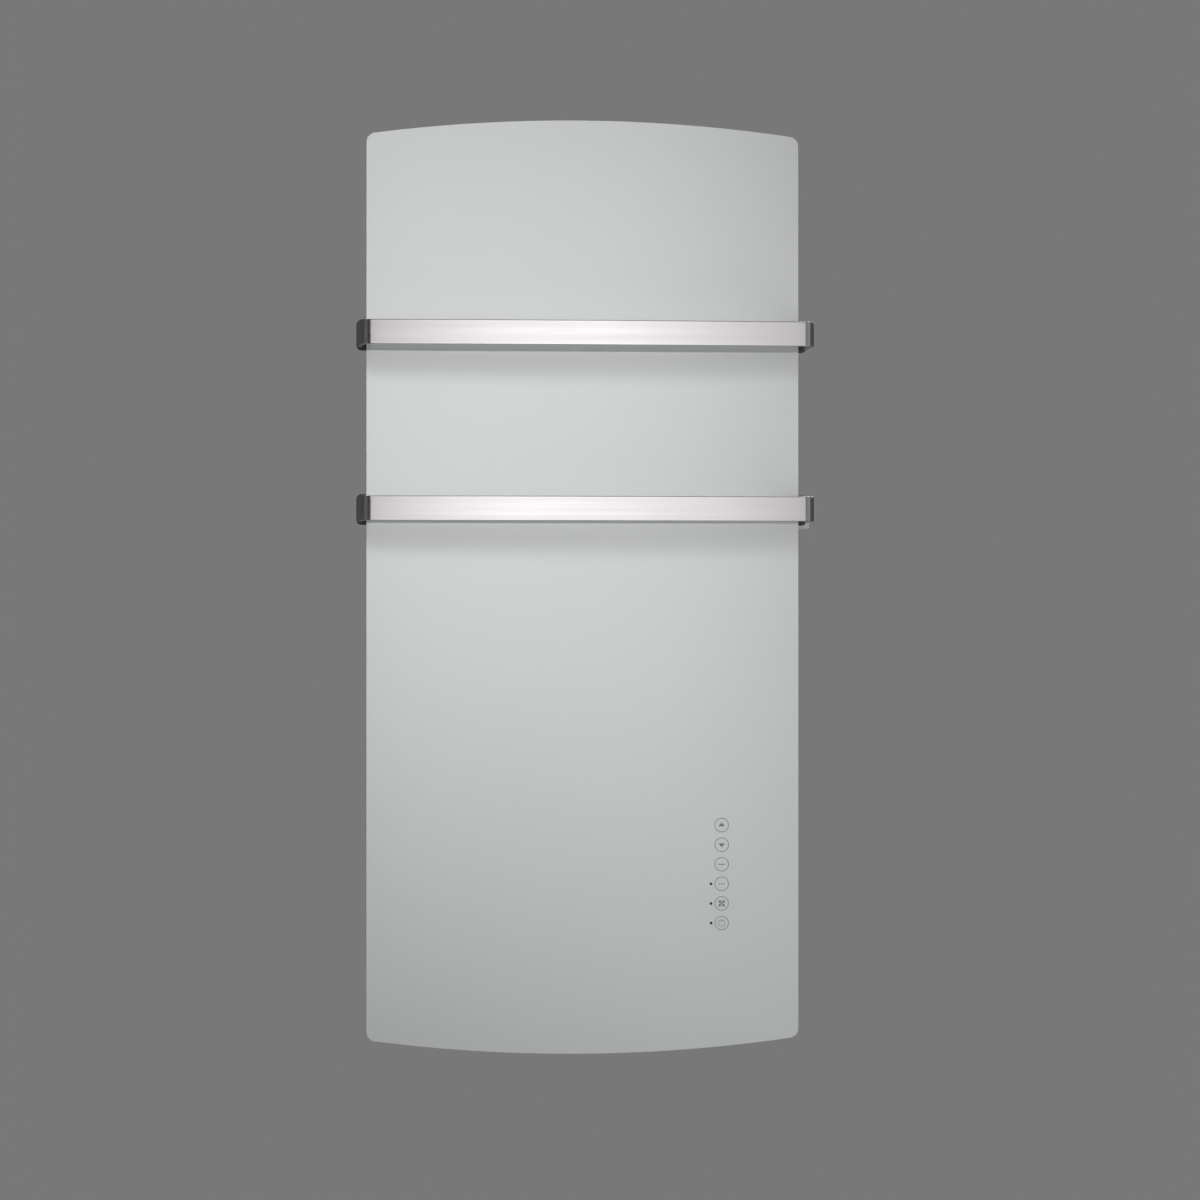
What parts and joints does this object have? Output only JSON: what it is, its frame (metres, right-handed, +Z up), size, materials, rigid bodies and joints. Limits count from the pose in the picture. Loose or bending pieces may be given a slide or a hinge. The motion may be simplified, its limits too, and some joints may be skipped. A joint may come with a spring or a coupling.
{
  "type": "glass towel warmer",
  "caption": "Wall-hung electric towel warmer: heated glass front with arched ends, two flat hoop bars, touch keys and a fan heater inside.",
  "frame": {"origin": "centre of the four wall screw holes, on the wall's plane", "axes": "+Z up; +Y into the wall, so the glass faces -Y; +X to the right of someone facing the glass"},
  "size_m": [0.4689, 0.133, 0.95],
  "materials": {
    "enamelled_glass": "gloss, pale grey-green enamel behind polished glass",
    "brushed_bar": "satin brushed along its length",
    "dark_plate": "fine-textured dark grey powder coat",
    "zinc_steel": "bright zinc plate",
    "casing_paint": "light grey powder coat",
    "aluminium": "mill finish",
    "foil": "bright foil",
    "silicone": "matt",
    "mineral_mat": "fibrous",
    "black_rubber": "matt",
    "black_plastic": "fine texture",
    "grey_plastic": "fine texture",
    "light_plastic": "smooth",
    "filter_net": "woven net",
    "bronze": "turned",
    "lamination": "stacked steel sheets",
    "winding": "lacquered wire under tape",
    "ceramic_heater": "fins on ceramic strips",
    "board": "solder mask",
    "foam_pad": "conductive foam",
    "clear_lens": "clear light pipe",
    "blue_case": "moulded",
    "copper_can": "shrunk sleeve",
    "cream_plastic": "moulded"
  },
  "bodies": {
    "heater": {"bar_plates_lower": "dark_plate", "bar_plates_upper": "dark_plate", "board_connectors": "cream_plastic", "board_standoffs": "cream_plastic", "board_tray": "black_plastic", "bond_strips": "silicone", "cable_gland": "light_plastic", "capacitor": "copper_can", "casing_screws": "zinc_steel", "fan_end_left": "black_plastic", "fan_end_right": "black_plastic", "fan_scroll": "black_plastic", "fan_tongue": "black_plastic", "filter_guide": "grey_plastic", "gland_cap": "light_plastic", "gland_nut": "light_plastic", "gland_seal": "black_rubber", "glass_panel": "enamelled_glass", "glass_rail_left": "aluminium", "glass_rail_right": "aluminium", "heat_shield": "aluminium", "heating_foil": "foil", "insulation_mat": "mineral_mat", "intake_grille": "grey_plastic", "led_lenses": "clear_lens", "motor_bolts": "zinc_steel", "motor_bridges": "zinc_steel", "motor_coil": "winding", "motor_stator": "lamination", "outlet_grille": "grey_plastic", "plate_nuts": "zinc_steel", "power_board": "board", "ptc_fins": "ceramic_heater", "ptc_frame": "black_plastic", "rail_studs": "zinc_steel", "rear_casing": "casing_paint", "relays": "blue_case", "ribbon_cable": "grey_plastic", "room_sensor": "copper_can", "sensor_grommet": "black_rubber", "shaft_bushes": "bronze", "switch_pod": "light_plastic", "terminal_block": "cream_plastic", "terminal_cover": "casing_paint", "terminal_screws": "zinc_steel", "thermal_cutout": "cream_plastic", "touch_board": "board", "touch_pads": "foam_pad", "towel_bar_lower": "brushed_bar", "towel_bar_upper": "brushed_bar", "transformer": "winding", "wall_bracket": "zinc_steel", "wall_spacers": "black_rubber", "wiring": "black_rubber"},
    "fan_rotor": {"impeller": "grey_plastic", "fan_shafts": "zinc_steel", "motor_rotor": "aluminium"},
    "dust_filter": {"filter_frame": "black_plastic", "filter_mesh": "filter_net"},
    "rocker_key": {"rocker": "light_plastic"}
  },
  "joints": [
    {"name": "fan_spin", "type": "hinge", "parent": "heater", "child": "fan_rotor", "pos_m": [-0.02, -0.036, -0.642], "axis": [1, 0, 0], "continuous": true},
    {"name": "filter_slide", "type": "slide", "parent": "heater", "child": "dust_filter", "axis": [0, 0, -1], "range_m": [0, 0.085]},
    {"name": "rocker_tilt", "type": "hinge", "parent": "heater", "child": "rocker_key", "pos_m": [0.2325, -0.033, -0.175], "axis": [0, -1, 0], "range_deg": [0, 20]}
  ]
}
